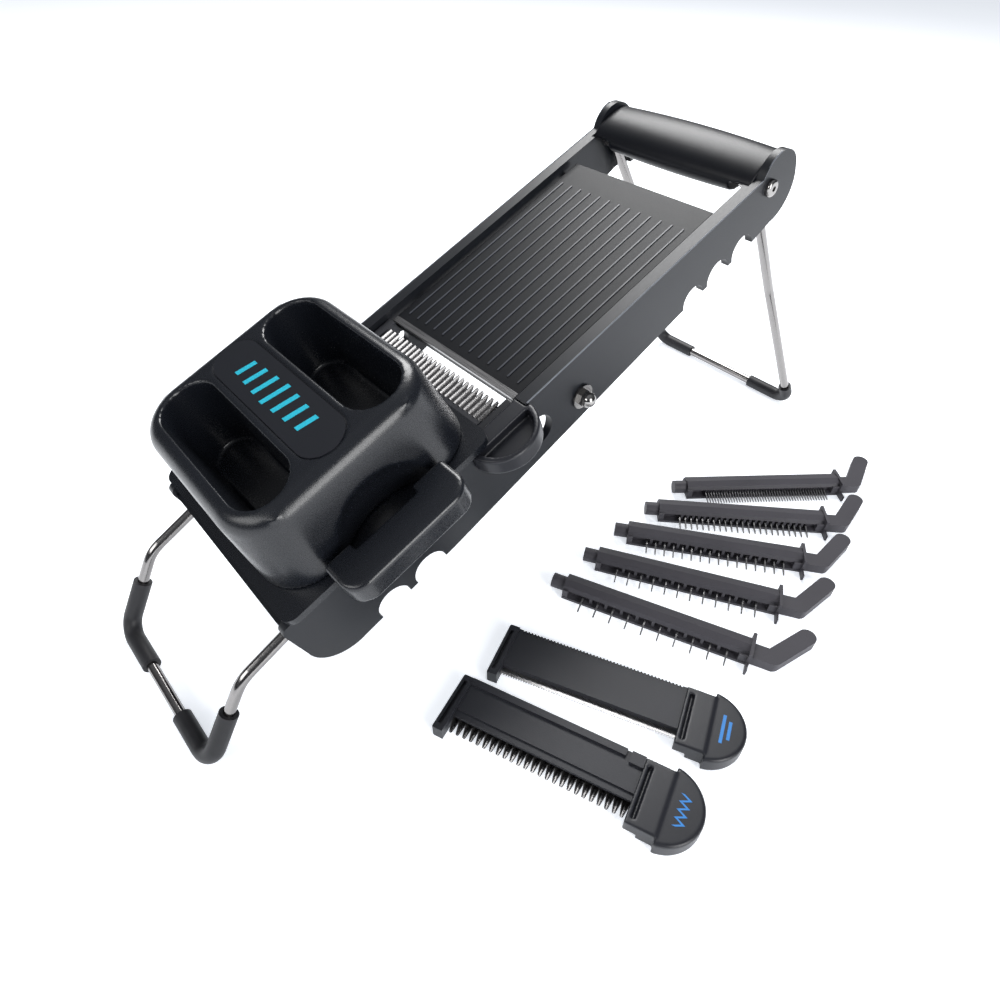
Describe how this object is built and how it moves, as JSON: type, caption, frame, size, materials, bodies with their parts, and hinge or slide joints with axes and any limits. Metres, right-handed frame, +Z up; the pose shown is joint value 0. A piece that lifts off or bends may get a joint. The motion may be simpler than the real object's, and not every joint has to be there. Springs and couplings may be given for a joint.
{
  "type": "mandoline slicer with accessories",
  "caption": "Sloped kitchen mandoline on two folding wire legs, with a sliding hand guard, a pull-out blade cassette and loose combs and cassettes lying beside it.",
  "frame": {"origin": "on the table, under the middle of the whole row: slicer and loose pieces together", "axes": "+X to the right of the bed, +Y along the row towards the handle end, +Z up from the table"},
  "size_m": [0.3308, 0.5276, 0.2258],
  "materials": {
    "frame_plastic": "charcoal moulded plastic, fine texture",
    "ramp_plastic": "charcoal moulded plastic, satin",
    "handle_plastic": "smooth black",
    "guard_plastic": "charcoal moulded plastic, satin",
    "badge_inlay": "smooth inlay with a plain teal mark",
    "cassette_plastic": "dark grey moulded plastic",
    "grip_plastic": "smooth dark plastic",
    "comb_plastic": "dark grey moulded plastic",
    "blade_steel": "ground stainless steel",
    "chrome_wire": "bright plated wire",
    "fastener_chrome": "bright plated",
    "foot_rubber": "black rubber"
  },
  "bodies": {
    "bed": {"left_side_frame": "frame_plastic", "right_side_frame": "frame_plastic", "receiving_plate": "frame_plastic", "blade_bed": "frame_plastic", "handle": "handle_plastic", "ramp_hinge_rod": "fastener_chrome", "rear_pivot_screws": "fastener_chrome", "rear_pivot_nuts": "fastener_chrome", "rear_leg_stops": "frame_plastic"},
    "ramp": {"ramp_plate": "ramp_plastic", "ramp_edge_strip": "blade_steel"},
    "thickness_adjuster": {"cam_shaft": "fastener_chrome", "thickness_cams": "guard_plastic", "thickness_knob": "handle_plastic", "cam_shaft_washer": "fastener_chrome", "cam_shaft_cap_nut": "fastener_chrome"},
    "rear_leg": {"rear_leg_wire": "chrome_wire", "rear_leg_sleeves": "foot_rubber"},
    "front_leg": {"front_leg_wire": "chrome_wire", "front_leg_sleeves": "foot_rubber"},
    "fitted_cassette": {"fitted_cassette_deck": "cassette_plastic", "fitted_cassette_shoe": "cassette_plastic", "fitted_cassette_grip": "grip_plastic", "fitted_cassette_blade": "blade_steel"},
    "guard_carriage": {"carriage_frame": "guard_plastic", "left_wing": "guard_plastic", "right_wing": "guard_plastic", "guide_posts": "blade_steel"},
    "hand_guard": {"guard_dome": "guard_plastic", "guard_badge": "badge_inlay", "pusher_plate": "guard_plastic"},
    "slicing_cassette": {"slicing_cassette_deck": "cassette_plastic", "slicing_cassette_shoe": "cassette_plastic", "slicing_cassette_grip": "grip_plastic", "slicing_cassette_blade": "blade_steel"},
    "waffle_cassette": {"waffle_cassette_deck": "cassette_plastic", "waffle_cassette_shoe": "cassette_plastic", "waffle_cassette_grip": "grip_plastic", "waffle_cassette_blade": "blade_steel"},
    "comb_2mm": {"comb_2mm_holder": "comb_plastic", "comb_2mm_teeth": "blade_steel"},
    "comb_4mm": {"comb_4mm_holder": "comb_plastic", "comb_4mm_teeth": "blade_steel"},
    "comb_6mm": {"comb_6mm_holder": "comb_plastic", "comb_6mm_teeth": "blade_steel"},
    "comb_8mm": {"comb_8mm_holder": "comb_plastic", "comb_8mm_teeth": "blade_steel"},
    "comb_10mm": {"comb_10mm_holder": "comb_plastic", "comb_10mm_teeth": "blade_steel"}
  },
  "joints": [
    {"name": "thickness_knob_turn", "type": "hinge", "parent": "bed", "child": "thickness_adjuster", "pos_m": [-0.07443, -0.01652, 0.12669], "axis": [-1, 0, 0], "range_deg": [0, 270]},
    {"name": "ramp_tilt", "type": "hinge", "parent": "bed", "child": "ramp", "pos_m": [-0.07443, 0.09075, 0.18834], "axis": [1, 0, 0], "range_deg": [0, 2.8]},
    {"name": "rear_leg_fold", "type": "hinge", "parent": "bed", "child": "rear_leg", "pos_m": [-0.07443, 0.12864, 0.20672], "axis": [1, 0, 0], "range_deg": [-85, 0]},
    {"name": "front_leg_fold", "type": "hinge", "parent": "bed", "child": "front_leg", "pos_m": [-0.07443, -0.19541, 0.06904], "axis": [1, 0, 0], "range_deg": [0, 155]},
    {"name": "cassette_slide", "type": "slide", "parent": "bed", "child": "fitted_cassette", "axis": [1, 0, 0], "range_m": [0, 0.13]},
    {"name": "carriage_slide", "type": "slide", "parent": "bed", "child": "guard_carriage", "axis": [0, 0.9285, 0.3714], "range_m": [0, 0.17]},
    {"name": "guard_plunge", "type": "slide", "parent": "guard_carriage", "child": "hand_guard", "axis": [0, -0.3714, 0.9285], "range_m": [0, 0.035]},
    {"name": "comb_2mm_lift", "type": "slide", "parent": "bed", "child": "comb_2mm", "axis": [0, 0, 1], "range_m": [0, 0.08]},
    {"name": "comb_4mm_lift", "type": "slide", "parent": "bed", "child": "comb_4mm", "axis": [0, 0, 1], "range_m": [0, 0.08]},
    {"name": "comb_6mm_lift", "type": "slide", "parent": "bed", "child": "comb_6mm", "axis": [0, 0, 1], "range_m": [0, 0.08]},
    {"name": "comb_8mm_lift", "type": "slide", "parent": "bed", "child": "comb_8mm", "axis": [0, 0, 1], "range_m": [0, 0.08]},
    {"name": "comb_10mm_lift", "type": "slide", "parent": "bed", "child": "comb_10mm", "axis": [0, 0, 1], "range_m": [0, 0.08]},
    {"name": "slicing_cassette_lift", "type": "slide", "parent": "bed", "child": "slicing_cassette", "axis": [0, 0, 1], "range_m": [0, 0.08]},
    {"name": "waffle_cassette_lift", "type": "slide", "parent": "bed", "child": "waffle_cassette", "axis": [0, 0, 1], "range_m": [0, 0.08]}
  ],
  "couplings": [
    {"joint": "ramp_tilt", "follows": "thickness_knob_turn", "ratio": 0.01037}
  ]
}
